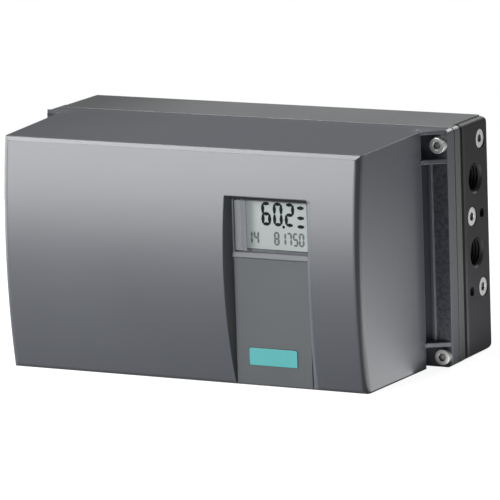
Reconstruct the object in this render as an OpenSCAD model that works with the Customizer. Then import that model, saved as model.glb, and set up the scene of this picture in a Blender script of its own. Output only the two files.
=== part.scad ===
// Electropneumatic valve positioner: a rear base, a lift-off front cover and the works between them.
// Millimetres. The origin is on the feedback shaft's axis in the plane of the rear face.
// +X is to the viewer's right, +Y points to the rear, +Z is up.

/* [Housing] */
// Width across the side flanges
body_w = 184.5; // [182:0.5:196]
// Height of the housing
body_h = 97.5; // [95.5:0.5:108]
// Depth of the base from its rim to its rear face
base_d = 32; // [30:0.5:34]
// Thickness of the base's rear wall
rear_wall = 4; // [3:0.1:5]
// Thickness of the base's side walls
side_wall = 4; // [3.8:0.1:5]
// Thickness of the base's flange
base_flange = 5.6; // [5.4:0.1:6.2]
// Step from the flange in to the base's sides
side_step = 0.6; // [0.4:0.1:1.4]
// Radius of the housing's long corners
corner_r = 2.2; // [1:0.1:4]
// Width of the groove along the parting line
groove_w = 0.8; // [0.4:0.1:1.2]
// Depth of that groove
groove_d = 0.5; // [0.2:0.1:0.6]
// Width of the cover gasket
gasket_w = 1.8; // [1.4:0.1:2.2]
// Depth of the gasket's groove
gasket_depth = 1.5; // [1:0.1:2.5]

/* [Cover] */
// Depth of the cover from its rim to its front edges
cover_d = 62.5; // [60:0.5:75]
// Wall thickness of the cover
cover_wall = 3; // [2.6:0.1:3.4]
// Thickness of the cover's side flanges
cover_flange = 6.8; // [6:0.1:10]
// Reach of each flange beyond the cover's side
flange_reach = 8.6; // [8.2:0.1:9.6]
// Draft of each side from the flange to the front
side_draft = 2.5; // [1:0.1:4.4]
// Fall of the top face from the flange to the front
top_draft = 1.5; // [0.8:0.1:2]
// Bulge of the front face at its middle
front_bulge = 4; // [3:0.1:5]
// Radius of the front's upright edges
front_edge_r = 3; // [1:0.1:3]
// Width of the chamfer along the front's top and bottom edges
front_chamfer = 1.1; // [0.3:0.1:1.2]
// Width of the upright trough in front of each flange
trough_w = 5.6; // [5:0.1:9]
// Depth of the trough below the cover's side
trough_depth = 3.4; // [2:0.1:4]
// Thickness of the gussets across the trough
gusset_t = 1.8; // [1:0.1:2.4]
// Thickness of the roof over the upper screw pockets
roof_t = 1.3; // [1:0.1:1.4]
// Drop from the top face to the upper gusset's underside
gusset_drop = 13.5; // [12.4:0.1:16]
// Rise from the bottom face to the lower gusset's upper face
gusset_rise = 10.6; // [10.6:0.1:16]
// Distance of the upright rib on the flange's face from the cover's side
rib_in = 0.35; // [0:0.05:0.6]
// Width of that rib
rib_w = 1.4; // [0.8:0.1:2]
// Height of that rib above the flange's face
rib_h = 0.9; // [0.4:0.1:1.5]

/* [Front recess] */
// Distance of the recess's centre from the housing's right side
recess_in = 52.25; // [50.25:0.25:55]
// Width of the recess's floor
recess_w = 34.4; // [34.2:0.1:38]
// Drop from the top face to the recess's top
recess_drop = 20.7; // [17:0.1:22]
// Set-back of the recess's floor from the front edges
recess_back = 0.5; // [0.3:0.1:1.2]
// Flare of the recess's left wall for each unit of depth
recess_flare = 0.55; // [0.4:0.05:1]
// Flare of the recess's right and top walls for each unit of depth
recess_lip = 0.2; // [0.1:0.05:0.6]
// Width of the chamfer along the recess's right edge
lip_w = 2.2; // [1:0.1:3]
// Depth of that chamfer
lip_d = 1.2; // [0.6:0.1:1.8]
// Thickness of the recess's floor
floor_t = 2.5; // [2.4:0.1:3.2]
// Width of the window
window_w = 32.6; // [31.6:0.1:33.4]
// Height of the window
window_h = 21; // [20:0.1:22]
// Drop from the recess's top to the window
window_drop = 1.2; // [0.5:0.1:1.4]
// Thickness of the window
window_t = 1.5; // [1:0.1:1.6]
// Height of the ledge behind the window's top and bottom edges
window_ledge = 0.6; // [0.5:0.1:1]
// Width of the ledge behind the window's left edge
ledge_left = 2.2; // [1:0.1:2.6]
// Width of the ledge behind the window's right edge
ledge_right = 1; // [0.8:0.1:1.4]
// Height of the bar between window and front plate
bar_h = 2; // [1.5:0.1:3]
// Height of that bar above the recess's floor at its lower edge
bar_out = 1.1; // [0.3:0.1:1.4]
// Height of that bar above the recess's floor at its upper edge
bar_back = 0.2; // [0.1:0.1:0.3]
// Width of the front plate
plate_w = 33.6; // [30:0.1:33.8]
// Thickness of the front plate
plate_t = 1.2; // [1:0.1:1.6]
// Depth of the front plate's seat
plate_seat = 0.9; // [0.5:0.1:1.2]
// Width of the teal inlay
inlay_w = 21.4; // [12:0.1:26]
// Height of the teal inlay
inlay_h = 7; // [5:0.1:10]
// Thickness of the teal inlay
inlay_t = 0.5; // [0.3:0.1:0.7]
// Height of the inlay's centre above the bottom face
inlay_up = 12; // [9:0.1:20]

/* [Cover screws] */
// Radius of the screws' shanks
screw_r = 1.95; // [1.5:0.05:2.1]
// Radius of the screws' heads
screw_head_r = 3.25; // [3:0.05:3.25]
// Height of the screws' heads
screw_head_h = 2.2; // [1.8:0.1:3]
// Width across flats of the heads' sockets
screw_socket = 3; // [2:0.1:3.5]
// Length of thread that bites into the base
screw_bite = 5; // [4:0.1:5]
// Distance of the screws from the flange's side edge
screw_in = 3.3; // [3.3:0.05:4.2]
// Distance of the upper screws from the top face
screw_down = 6; // [5.6:0.1:6.6]
// Distance of the lower screws from the bottom face
screw_up = 4.6; // [4.4:0.1:4.8]
// Thickness of the screws' washers
washer_t = 0.5; // [0.4:0.1:1]

/* [Pneumatic connections] */
// Radius of the ports' bores, at the crests of a G1/4 thread
port_r = 5.72; // [5:0.01:5.9]
// Depth of the ports
port_depth = 12; // [9:0.1:12.4]
// Width of the chamfer at each port
port_chamfer = 0.8; // [0.5:0.1:1.3]
// Spacing of the two ports
port_pitch = 30.8; // [29:0.1:33]
// Drop from the top face to the upper port
port_drop = 24; // [23:0.1:27]
// Distance of the ports from the rear face
port_in = 12.2; // [11.5:0.1:12.6]
// Radius of the air passages
passage_r = 2.6; // [1.5:0.1:3]
// Depth of the connection block into the base
block_d = 13.4; // [13:0.1:15]
// Thickness of the block's outer plate
block_plate = 3.2; // [3.1:0.1:3.5]
// Width of the ledge that the outer plate rests on
block_ledge = 1.6; // [1.2:0.1:2]
// Stand-out of the outer plate from the base's side
block_out = 0.4; // [0:0.1:0.6]
// Gap between the base's flange and the outer plate
block_gap = 0.6; // [0.3:0.1:1]
// Set-back of the outer plate from the rear face
block_back = 0.4; // [0.3:0.1:1]
// Radius of the outer plate's rear corners
block_corner = 3; // [1:0.1:5]
// Radius of the block screws' heads
block_head_r = 3.9; // [3:0.1:4]
// Height of the block screws' heads
block_head_h = 2.6; // [2:0.1:3]
// Radius of the block screws' shanks
block_shank_r = 1.6; // [1.4:0.1:1.7]
// Offset of the outer block screws and the small holes from the ports
block_zigzag = 5.6; // [4.6:0.1:5.7]
// Offset of the middle block screw from the ports
block_mid = 3.6; // [2:0.1:5]
// Radius of the two small holes
tap_r = 2; // [1:0.05:2]
// Depth of the two small holes
tap_depth = 8; // [4:0.1:10]

/* [Pneumatics] */
// Width of the valve block
valve_w = 35; // [30:0.5:36]
// Height of the valve block
valve_h = 72; // [70:0.5:76]
// Gap from the valve block's front to the base's flange
valve_low = 4.4; // [4:0.1:5.5]
// Distance of the adjusters from the cover's inside
adjust_in = 6.5; // [6:0.1:7.4]
// Radius of the restrictor screws' heads
restrictor_head_r = 4; // [3:0.1:4.5]
// Radius of the restrictor screws' shanks
restrictor_r = 2.5; // [1.5:0.1:2.8]
// Radius of the purge switch
purge_r = 5; // [4:0.1:5.4]
// Radius of the silencer
silencer_r = 5; // [4:0.1:5.4]
// Length of the silencer
silencer_l = 20; // [12:0.5:24]
// Thickness of the pilot valves
pilot_t = 9; // [6:0.1:11]

/* [Electronics] */
// Reach of the electronics module to the left of the shaft
module_left = 14; // [10:0.5:16]
// Distance from the electronics module to the adjusters' line
module_clear = 7; // [6.5:0.1:7.9]
// Height of the module's top above the shaft
module_up = 39; // [36:0.5:40]
// Depth of the module's foot below the shaft
module_down = 35; // [34:0.5:38]
// Reach of the terminal arm to the left of the shaft
arm_left = 66; // [64:0.5:70]
// Height of the terminal arm
arm_h = 26; // [25:0.5:26.4]
// Thickness of the module's walls
module_wall = 2; // [1.4:0.1:2.4]
// Depth of the carrier
carrier_d = 23; // [20:0.5:26]
// Gap from the base's rim to the carrier
carrier_gap = 3; // [2:0.1:6]
// Thickness of the circuit boards
board_t = 1.6; // [1:0.1:2]
// Depth of the main board below the carrier's rim
board_sink = 4.4; // [3.6:0.1:6]
// Radius of the standoffs
standoff_r = 3.5; // [3:0.1:4]
// Height of the terminal blocks
terminal_h = 10; // [8:0.1:14]
// Pitch of the terminals
terminal_pitch = 6; // [5.5:0.1:6.2]
// Terminals in each row
terminal_n = 7; // [3:1:7]

/* [Display and keys] */
// Gap from the recess's floor to the display glass
lcd_gap = 1; // [0.9:0.1:1.4]
// Offset of the display to the right of the recess's centre
lcd_shift = 1; // [0.6:0.1:1.2]
// Width of the display glass
lcd_w = 30.6; // [29.6:0.1:31.4]
// Height of the display glass
lcd_h = 22.4; // [21.6:0.1:22.8]
// Thickness of the display glass
lcd_t = 3; // [2:0.1:3.3]
// Margin of the glass that the bezel covers
lcd_margin = 1.4; // [0.5:0.1:1.9]
// Width of the bezel around the glass
bezel_w = 2.2; // [1.5:0.1:2.6]
// Width of the keys
key_w = 8; // [5:0.1:9]
// Height of the keys
key_h = 6; // [4:0.1:8]
// Radius of the keys' corners
key_r = 1.5; // [0.5:0.1:2]
// Stand-out of the keys from the module's front
key_out = 2.5; // [1.5:0.1:3.6]
// Travel of the keys
key_travel = 0.8; // [0.4:0.05:1]
// Spacing of the keys
key_pitch = 12; // [11.5:0.1:13]
// Drop from the display's centre to the keys
key_drop = 24; // [22:0.1:28]

/* [Feedback drive] */
// Radius of the feedback shaft in its bush
journal_r = 4.5; // [4.3:0.1:4.8]
// Radius of the shaft's round seat behind the rear face
shaft_r = 4; // [3.6:0.1:4.1]
// Length of the shaft behind the rear face
shaft_out = 20; // [15:0.5:30]
// Radius of the shaft's tip
tip_r = 3.4; // [3:0.1:3.5]
// Length of the tip
tip_l = 6; // [4:0.5:9]
// Depth of the flat on the tip
shaft_flat = 1; // [0.5:0.1:1.4]
// Length of the cone from the collar to the seat
shoulder_l = 1; // [0.5:0.1:1.5]
// Radius of the shaft's collar
collar_r = 6; // [5.5:0.1:8]
// Thickness of the shaft's collar
collar_t = 1.7; // [1:0.1:2.5]
// Radius of the bush
bush_r = 6; // [5.6:0.1:6.5]
// Radius of the bush's flange
bush_flange_r = 8; // [7:0.1:8.8]
// Thickness of the bush's flange
bush_flange_t = 1.2; // [0.8:0.1:1.6]
// Height of the bush's boss above the rear wall
boss_h = 6.5; // [6:0.1:7]
// Tooth module of the gears
gear_m = 1; // [0.9:0.05:1.02]
// Teeth of the shaft's gear
gear_n = 48; // [45:1:49]
// Teeth of the pinion
pinion_n = 16; // [14:1:17]
// Thickness of the gears
gear_t = 4; // [3:0.1:4.4]
// Play between the teeth
tooth_play = 0.2; // [0.14:0.01:0.3]
// Thickness of the retaining ring
clip_t = 1; // [0.8:0.1:1.2]
// Radius of the potentiometer's body
pot_r = 9; // [7:0.1:10]
// Radius of the potentiometer's spindle
spindle_r = 2.5; // [2:0.1:2.8]
// Thickness of the gear plate
gear_plate_t = 1.2; // [0.8:0.1:1.6]
// Reach of the gear plate beyond the spindle
gear_plate_reach = 22; // [20:0.1:23]
// Margin of the gear plate around its posts
gear_plate_margin = 5; // [4:0.1:6]
// Spacing of the long posts
post_pitch = 28; // [26:0.1:32]
// Radius of the friction-clutch wheel
wheel_r = 9; // [7:0.1:10]
// Thickness of the friction-clutch wheel
wheel_t = 7; // [4:0.1:8]
// Grip notches round the wheel
wheel_n = 20; // [8:1:24]
// Length of the ratio selector's lever
selector_l = 10; // [7:0.1:10.5]
// Thickness of the ratio selector
selector_t = 2.5; // [1.5:0.1:3]

/* [Rear mounting] */
// Spacing of the rear inserts across and up
insert_pitch = 50; // [49:0.5:52]
// Radius of the inserts' threaded bores
insert_bore_r = 2.5; // [2:0.1:2.8]
// Outer radius of the inserts
insert_r = 4.5; // [4:0.1:4.8]
// Length of the inserts
insert_l = 10; // [9:0.1:10]

/* [Cable entries] */
// Radius of the two entries' threads
entry_r = 10; // [8:0.1:10]
// Distance of the entries from the rear face
entry_in = 13.5; // [12.8:0.1:13.5]
// Spacing of the two entries
entry_pitch = 36; // [34:0.5:44]
// Width across flats of the gland and the plug
gland_af = 24; // [23:0.1:24.4]
// Thickness of the gland's hexagon
gland_hex_t = 5; // [4:0.1:7]
// Radius of the gland's clear bore
gland_bore_r = 5; // [3:0.1:6]
// Length of the gland's nut
gland_nut_l = 18; // [15:0.5:22]
// Thickness of the entries' flat seals
seal_t = 1.2; // [0.8:0.1:2]

/* [Fits] */
// Radial gap of a fixed pin or plate in its seat
seat_gap = 0.15; // [0.1:0.01:0.2]
// Radial gap of a turning shaft in its bearing
run_gap = 0.05; // [0.03:0.01:0.09]
// Gap between a moving piece and its neighbours
free_gap = 0.3; // [0.25:0.01:0.4]

/* [Hidden] */
$fn = 64;
// Overlap that carries a cut past a face
eps = 1;
hw = body_w / 2;
hh = body_h / 2;
rim_y = -base_d;
edge_y = rim_y - cover_d;
cover_flange_y = rim_y - cover_flange;
base_flange_y = rim_y + base_flange;
inner_y = -rear_wall;

// Cover
side_back = hw - flange_reach;
side_front = side_back - side_draft;
trough_x = side_back - trough_depth;
trough_y = cover_flange_y - trough_w;
cavity_hw = side_back - max(trough_depth, side_draft) - cover_wall;
cavity_hh = hh - top_draft - cover_wall;
arc_r = (hh * hh + front_bulge * front_bulge) / (2 * front_bulge);
arc_y = edge_y - front_bulge + arc_r;
front_y = edge_y - front_bulge;
screw_x = hw - screw_in;
screw_z = [-hh + screw_up, hh - screw_down];
gusset_z = [-hh + gusset_rise, hh - gusset_drop];
rib_x = side_back + rib_in;

// Recess
recess_x = hw - recess_in;
floor_y = edge_y + recess_back;
floor_in = floor_y + floor_t;
recess_top = hh - recess_drop;
window_z = recess_top - window_drop - window_h / 2;
window_low = window_z - window_h / 2;
plate_top = window_low - bar_h - 4 * seat_gap;
plate_low = -hh + 2 * free_gap;
inlay_x = recess_x - 0.4;
window_seat = window_t + seat_gap;

// Base
base_hw = hw - side_step;
inner_hw = base_hw - side_wall;
gasket_mid = gasket_w;

// Connection block
block_face = base_hw + block_out;
block_in = block_face - block_d;
block_y = [base_flange_y + block_gap, -block_back];
core_y = [block_y[0] + block_ledge, inner_y - free_gap];
core_hh = cavity_hh - free_gap;
port_up = hh - port_drop;
ports = [[-port_in, port_up], [-port_in, port_up - port_pitch]];
block_screw_at = [
    for (i = [0 : 2])
        [-port_in + (i == 1 ? -block_mid : block_zigzag), port_up + port_pitch / 2 - i * port_pitch]
];
taps = [
    for (i = [1 : 2])
        [-port_in + (i == 1 ? 1 : -1) * block_zigzag, port_up + port_pitch / 2 - i * port_pitch]
];
block_shank_l = block_d - block_head_h - free_gap;

// Pneumatics
valve_x = [block_in - valve_w, block_in];
valve_y = [base_flange_y + valve_low, inner_y];
adjust_x = cavity_hw - adjust_in;
module_right = adjust_x - module_clear;
restrictor_z = [28, 16];
purge_z = 2;
silencer_z = -18;
restrictor_head_h = 3;
adjust_depth = 9;
adjust_slot = 0.8;
silencer_pin_r = 3.5;
silencer_pin_l = 8;
pilot_w = 18;
pilot_h = 22;
pilot_x = valve_x[0] + pilot_w / 2 + 3;
pilot_z = [16, -16];

// Electronics: levels from the rear forward
carrier_y = rim_y - carrier_gap;
carrier_rim = carrier_y - carrier_d;
board_y = carrier_rim + board_sink;
lcd_front = floor_in + lcd_gap;
module_front = lcd_front + lcd_t + 0.5;
module_in = module_front + module_wall;
display_board_y = module_in + 6;
arm_z = [module_up - arm_h, module_up];
standoff_at = [[6 - module_left, 6 - module_down], [6 - arm_left, module_up - arm_h / 2]];
short_standoff_at = [[valve_x[0] + 13, 31], [valve_x[0] + 13, -31]];
module_screw_at = [
    [6 - module_left, module_up - 6],
    [6 - module_left, 6 - module_down],
    [module_right - 6, module_up - 6],
    [module_right - 6, 6 - module_down]
];
module_screw_r = 1.4;
module_head_r = 2.7;
module_head_h = 2;
terminal_w = terminal_n * terminal_pitch + 2;
terminal_d = 8.4;
terminal_x = -module_left - 4 - terminal_w / 2;
terminal_z = [module_up - arm_h / 2 + 4.8, module_up - arm_h / 2 - 4.8];
lcd_x = recess_x + lcd_shift;
chip_x = lcd_x - 39;
lcd_z = window_z;
key_z = lcd_z - key_drop;
key_rest_gap = key_travel + seat_gap;
key_flange_t = 1.2;
switch_h = display_board_y - (module_in + free_gap + key_flange_t + key_rest_gap);
switch_w = 6;

// Feedback drive: levels from the rear wall forward
boss_y = inner_y - boss_h;
bush_y = boss_y - bush_flange_t;
gear_back = bush_y - free_gap;
gear_y = [gear_back - gear_t, gear_back];
gear_hub_r = 7;
gear_hub_l = 2.5;
clip_y = [gear_y[0] - gear_hub_l - clip_t, gear_y[0] - gear_hub_l];
shaft_in = clip_y[0] - 1.5;
collar_y = free_gap + collar_t;
clip_r = journal_r + 2.5;
clip_groove = 0.8;
gear_pitch_r = gear_m * gear_n / 2;
pinion_pitch_r = gear_m * pinion_n / 2;
pinion_x = -gear_pitch_r - pinion_pitch_r;
pot_y = [boss_y, inner_y];
spindle_depth = 4.5;
plate_y = [shaft_in - 0.5 - gear_plate_t, shaft_in - 0.5];
pinion_hub_r = 5;
wheel_y = [plate_y[0] - free_gap - wheel_t, plate_y[0] - free_gap];
gear_plate_x = [pinion_x - gear_plate_reach, -insert_pitch / 2 + gear_plate_margin];
gear_plate_hh = insert_pitch / 2 + gear_plate_margin;
long_post_x = gear_plate_x[0] + gear_plate_margin + 1;
long_post_at = [[long_post_x, post_pitch / 2], [long_post_x, -post_pitch / 2]];
short_post_at = [[-insert_pitch / 2, insert_pitch / 2], [-insert_pitch / 2, -insert_pitch / 2]];
post_r = 3;
post_screw_r = 1.3;
post_head_r = 2.6;
post_head_h = 1.6;
selector_at = [pinion_x - 9, -20];
selector_pin_r = 2;
selector_hub_r = 3.6;
selector_arm_w = 3.4;
selector_rest = -70;
insert_boss_r = 6.5;
insert_at = [for (sx = [-1, 1], sz = [-1, 1]) [sx * insert_pitch / 2, sz * insert_pitch / 2]];

// Cable entries
entry_x = -hw;
entry_low = -entry_in;
gland_z = entry_pitch / 2;
plug_z = -entry_pitch / 2;
entry_thread_l = side_wall + side_step + 4;
seal_face = entry_x - seal_t;
gland_hex = seal_face - gland_hex_t;
neck_r = entry_r - 0.8;
neck_l = 11;
insert_ring_r = neck_r - 1.4;
gland_tip = gland_hex - free_gap - gland_nut_l;
nut_wall = 2.2;
plug_head_t = 4;

// Vent
vent_at = [18, -14];
vent_r = 4;
vent_head_r = 7;
vent_head_t = 1.8;
vent_bore_r = 1.4;

// Colours
slate = [0.27, 0.28, 0.30];
black = [0.12, 0.12, 0.13];
rubber = [0.06, 0.06, 0.06];
steel = [0.72, 0.72, 0.70];
brass = [0.74, 0.60, 0.30];
alloy = [0.70, 0.71, 0.72];
white = [0.88, 0.88, 0.85];
board_green = [0.10, 0.33, 0.20];
teal = [0.20, 0.68, 0.62];
yellow = [0.90, 0.72, 0.12];
lcd_grey = [0.74, 0.78, 0.74];
grey = [0.42, 0.44, 0.46];

// Box between two limits on each axis.
module box(x, y, z) {
    translate([x[0], y[0], z[0]])
        cube([x[1] - x[0], y[1] - y[0], z[1] - z[0]]);
}

// Rod along Y at a point of the front view.
module rod_y(at, y, r) {
    translate([at[0], y[1], at[1]])
        rotate([90, 0, 0])
            cylinder(h = y[1] - y[0], r = r);
}

// Rod along X at a point of the side view.
module rod_x(at, x, r) {
    translate([x[0], at[0], at[1]])
        rotate([0, 90, 0])
            cylinder(h = x[1] - x[0], r = r);
}

// Front-view outline carried along Y.
module along_y(y) {
    translate([0, y[1], 0])
        rotate([90, 0, 0])
            linear_extrude(y[1] - y[0])
                children();
}

// Side-view outline carried along X.
module along_x(x) {
    translate([x[0], 0, 0])
        rotate([90, 0, 90])
            linear_extrude(x[1] - x[0])
                children();
}

module round_rect(w, h, r) {
    square([w - 2 * r, h], center = true);
    square([w, h - 2 * r], center = true);
    for (sx = [-1, 1], sy = [-1, 1])
        translate([sx * (w / 2 - r), sy * (h / 2 - r)])
            circle(r = r);
}

// Upright plate with rounded corners, centred at a point of the front view.
module round_plate(at, w, h, r, y) {
    translate([at[0], 0, at[1]])
        along_y(y)
            round_rect(w, h, r);
}

// Rectangular frame around the centre, for the gasket and its groove.
module rim_ring(y, w) {
    mid_x = cavity_hw + gasket_mid;
    mid_z = cavity_hh + gasket_mid;
    difference() {
        box([-mid_x - w / 2, mid_x + w / 2], y, [-mid_z - w / 2, mid_z + w / 2]);
        box([-mid_x + w / 2, mid_x - w / 2], [y[0] - eps, y[1] + eps], [-mid_z + w / 2, mid_z - w / 2]);
    }
}

// Hexagon along X, with flats to the front and rear.
module hex_x(at, x, af) {
    translate([0, at[0], at[1]])
        along_x(x)
            rotate(30)
                circle(r = af / 2 / cos(30), $fn = 6);
}

// Involute gear tooth: the half angle of a tooth at a radius.
function involute(a) = tan(a) * 180 / PI - a;
function tooth_half(r, n, base_r) =
    90 / n - tooth_play / (2 * gear_m * n) * 180 / PI + involute(20)
    - involute(acos(min(1, base_r / r)));

function gear_outline(n) =
    let (
        pitch = gear_m * n / 2,
        base_r = pitch * cos(20),
        tip = pitch + 0.9 * gear_m,
        root = pitch - 1.2 * gear_m,
        start = max(root + 0.1 * gear_m, base_r),
        steps = [0, 0.25, 0.5, 0.75, 1],
        rise = [for (s = steps) start + s * (tip - start)]
    )
    [
        for (k = [0 : n - 1])
            let (
                mid = k * 360 / n,
                foot = tooth_half(start, n, base_r),
                up = [for (r = rise) [r, mid - tooth_half(r, n, base_r)]],
                down = [for (i = [4 : -1 : 0]) [rise[i], mid + tooth_half(rise[i], n, base_r)]],
                flank = concat([[root, mid - foot]], up, down, [[root, mid + foot]])
            )
            for (p = flank) [p[0] * cos(p[1]), p[0] * sin(p[1])]
    ];

// Base
module base_shell() {
    difference() {
        union() {
            along_y([rim_y, base_flange_y])
                round_rect(body_w - 2 * groove_d, body_h - 2 * groove_d, corner_r - groove_d);
            along_y([rim_y + groove_w, base_flange_y])
                round_rect(body_w, body_h, corner_r);
            along_y([base_flange_y, 0])
                round_rect(2 * base_hw, body_h, corner_r);
            box([-hw, -base_hw + eps], [base_flange_y - eps, -free_gap], [-hh + corner_r, hh - corner_r]);
        }
        box([-cavity_hw, cavity_hw], [rim_y - eps, inner_y], [-cavity_hh, cavity_hh]);
        box([-inner_hw, inner_hw], [base_flange_y, inner_y], [-cavity_hh, cavity_hh]);
    }
}

module base_housing() {
    color(slate)
    difference() {
        union() {
            base_shell();
            rod_y([0, 0], [boss_y, inner_y + eps], bush_r + cover_wall);
            for (p = insert_at)
                rod_y(p, [boss_y, inner_y + eps], insert_boss_r);
            for (s = [-1, 1])
                box([-inner_hw, -cavity_hw], [base_flange_y - eps, inner_y + eps],
                    [s * entry_pitch - 1.5, s * entry_pitch + 1.5]);
        }
        rim_ring([rim_y - eps, rim_y + gasket_depth], gasket_w + 2 * seat_gap);
        for (sx = [-1, 1], z = screw_z)
            rod_y([sx * screw_x, z], [rim_y - eps, rim_y + screw_bite + free_gap], screw_r + free_gap / 2);
        rod_y([0, 0], [boss_y - eps, eps], bush_r + run_gap);
        for (p = insert_at)
            rod_y(p, [-insert_l, eps], insert_r + run_gap);
        box([block_face - block_plate, hw + eps], [base_flange_y, eps], [-hh - eps, hh + eps]);
        box([inner_hw - eps, hw + eps], [core_y[0] - seat_gap, core_y[1] + seat_gap],
            [-core_hh - seat_gap, core_hh + seat_gap]);
        for (z = [gland_z, plug_z])
            rod_x([entry_low, z], [-hw - eps, entry_x + entry_thread_l + free_gap], entry_r + seat_gap);
        translate([vent_at[0], vent_at[1], -hh - eps])
            cylinder(h = hh, r = vent_r + run_gap);
        translate([vent_at[0], vent_at[1], -hh - eps])
            cylinder(h = vent_head_t + free_gap + eps, r = vent_head_r + seat_gap);
    }
}

module mounting_inserts() {
    color(brass)
    for (p = insert_at)
        difference() {
            rod_y(p, [-insert_l, 0], insert_r);
            rod_y(p, [-insert_l - eps, eps], insert_bore_r);
        }
}

module cover_gasket() {
    color(rubber)
        rim_ring([rim_y, rim_y + gasket_depth], gasket_w);
}

// Pneumatics
// Outer plate of the connection block, as high as the base and rounded with it along the long edges.
module block_outer_plate() {
    r = block_corner;
    intersection() {
        along_x([block_face - block_plate, block_face])
            union() {
                translate([block_y[0], -hh])
                    square([block_y[1] - block_y[0] - r, body_h]);
                translate([block_y[0], -hh + r])
                    square([block_y[1] - block_y[0], body_h - 2 * r]);
                for (s = [-1, 1])
                    translate([block_y[1] - r, s * (hh - r)])
                        circle(r = r);
            }
        along_y(block_y)
            round_rect(2 * block_face, body_h, corner_r);
    }
}

module connection_block() {
    color(black)
    difference() {
        union() {
            block_outer_plate();
            box([block_in, block_face - block_plate], core_y, [-core_hh, core_hh]);
        }
        for (p = ports) {
            rod_x(p, [block_face - port_depth, block_face + eps], port_r);
            rod_x(p, [block_in - eps, block_face], passage_r);
            translate([block_face - port_chamfer, p[0], p[1]])
                rotate([0, 90, 0])
                    cylinder(h = port_chamfer, r1 = port_r, r2 = port_r + port_chamfer);
        }
        for (p = block_screw_at) {
            rod_x(p, [block_face - block_head_h - free_gap, block_face + eps], block_head_r + free_gap);
            rod_x(p, [block_in - eps, block_face], block_shank_r + seat_gap);
        }
        for (p = taps)
            rod_x(p, [block_face - tap_depth, block_face + eps], tap_r);
    }
}

module block_screws() {
    head_face = block_face - free_gap;
    seat = head_face - block_head_h;
    color(steel)
    for (p = block_screw_at)
        difference() {
            union() {
                rod_x(p, [seat, head_face], block_head_r);
                rod_x(p, [seat - block_shank_l, seat + eps], block_shank_r);
            }
            hex_x(p, [head_face - block_head_h / 2, head_face + eps], block_head_r * 0.85);
        }
}

module valve_block() {
    color(alloy)
    difference() {
        box(valve_x, valve_y, [-valve_h / 2, valve_h / 2]);
        for (p = ports)
            rod_x(p, [valve_x[0] + valve_w / 2, valve_x[1] + eps], passage_r);
        for (p = block_screw_at)
            rod_x(p, [valve_x[1] - free_gap, valve_x[1] + eps], block_shank_r + seat_gap);
        for (z = restrictor_z)
            rod_y([adjust_x, z], [valve_y[0] - eps, valve_y[0] + adjust_depth], restrictor_r + run_gap);
        rod_y([adjust_x, purge_z], [valve_y[0] - eps, valve_y[0] + adjust_depth], restrictor_r + run_gap);
        rod_y([adjust_x, silencer_z], [valve_y[0] - eps, valve_y[0] + silencer_pin_l + free_gap],
            silencer_pin_r + seat_gap);
    }
}

module pilot_valves() {
    color(black)
    for (z = pilot_z)
        difference() {
            round_plate([pilot_x, z], pilot_w, pilot_h, 2, [valve_y[0] - pilot_t, valve_y[0]]);
            for (s = [-1, 1])
                rod_y([pilot_x, z + s * pilot_h / 3],
                    [valve_y[0] - pilot_t - eps, valve_y[0] - pilot_t + 2], 2);
        }
}

module silencer() {
    color(brass)
    union() {
        rod_y([adjust_x, silencer_z], [valve_y[0] - silencer_l, valve_y[0] - 4], silencer_r - 0.6);
        translate([adjust_x, 0, silencer_z])
            along_y([valve_y[0] - 4, valve_y[0]])
                circle(r = silencer_r, $fn = 6);
        rod_y([adjust_x, silencer_z], [valve_y[0] - eps, valve_y[0] + silencer_pin_l], silencer_pin_r);
    }
}

// Slotted adjusting screw seated just in front of the valve block.
module adjuster(z, head_r) {
    seat = valve_y[0] - free_gap;
    face = seat - restrictor_head_h;
    difference() {
        union() {
            rod_y([adjust_x, z], [face, seat], head_r);
            rod_y([adjust_x, z], [seat - eps, valve_y[0] + adjust_depth - free_gap], restrictor_r);
        }
        box([adjust_x - head_r - eps, adjust_x + head_r + eps], [face - eps, face + restrictor_head_h / 2],
            [z - adjust_slot / 2, z + adjust_slot / 2]);
    }
}

module restrictor_fill() {
    color(brass) adjuster(restrictor_z[0], restrictor_head_r);
}

module restrictor_vent() {
    color(brass) adjuster(restrictor_z[1], restrictor_head_r);
}

module purge_switch() {
    color(white) adjuster(purge_z, purge_r);
}

module vent_plug() {
    foot = -hh + free_gap;
    color(black)
    translate([vent_at[0], vent_at[1], 0])
        difference() {
            union() {
                translate([0, 0, foot])
                    cylinder(h = vent_head_t, r = vent_head_r);
                translate([0, 0, foot])
                    cylinder(h = hh - cavity_hh + 2, r = vent_r);
            }
            translate([0, 0, foot - eps])
                cylinder(h = hh, r = vent_bore_r);
            for (a = [0 : 60 : 300])
                rotate(a)
                    translate([vent_head_r - 1.6, 0, foot - eps])
                        cylinder(h = eps + 0.8, r = 0.9);
        }
}

// Electronics
module arm_outline(g) {
    translate([-module_left + g, -module_down + g])
        square([module_left + module_right - 2 * g, module_down + module_up - 2 * g]);
    translate([-arm_left + g, arm_z[0] + g])
        square([arm_left, arm_h - 2 * g]);
}

module standoffs() {
    color(steel) {
        for (p = standoff_at)
            rod_y(p, [carrier_y, inner_y], standoff_r);
        for (p = short_standoff_at)
            rod_y(p, [carrier_y, valve_y[0]], standoff_r);
    }
}

module carrier() {
    color(black)
    difference() {
        union() {
            difference() {
                along_y([carrier_rim, carrier_y])
                    arm_outline(0);
                along_y([carrier_rim - eps, carrier_y - module_wall])
                    arm_outline(module_wall);
            }
            for (p = concat(module_screw_at, [standoff_at[1]]))
                rod_y(p, [board_y, carrier_y - module_wall + eps], standoff_r);
        }
        for (p = module_screw_at)
            rod_y(p, [board_y - eps, board_y + 10], module_screw_r + seat_gap);
    }
}

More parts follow.
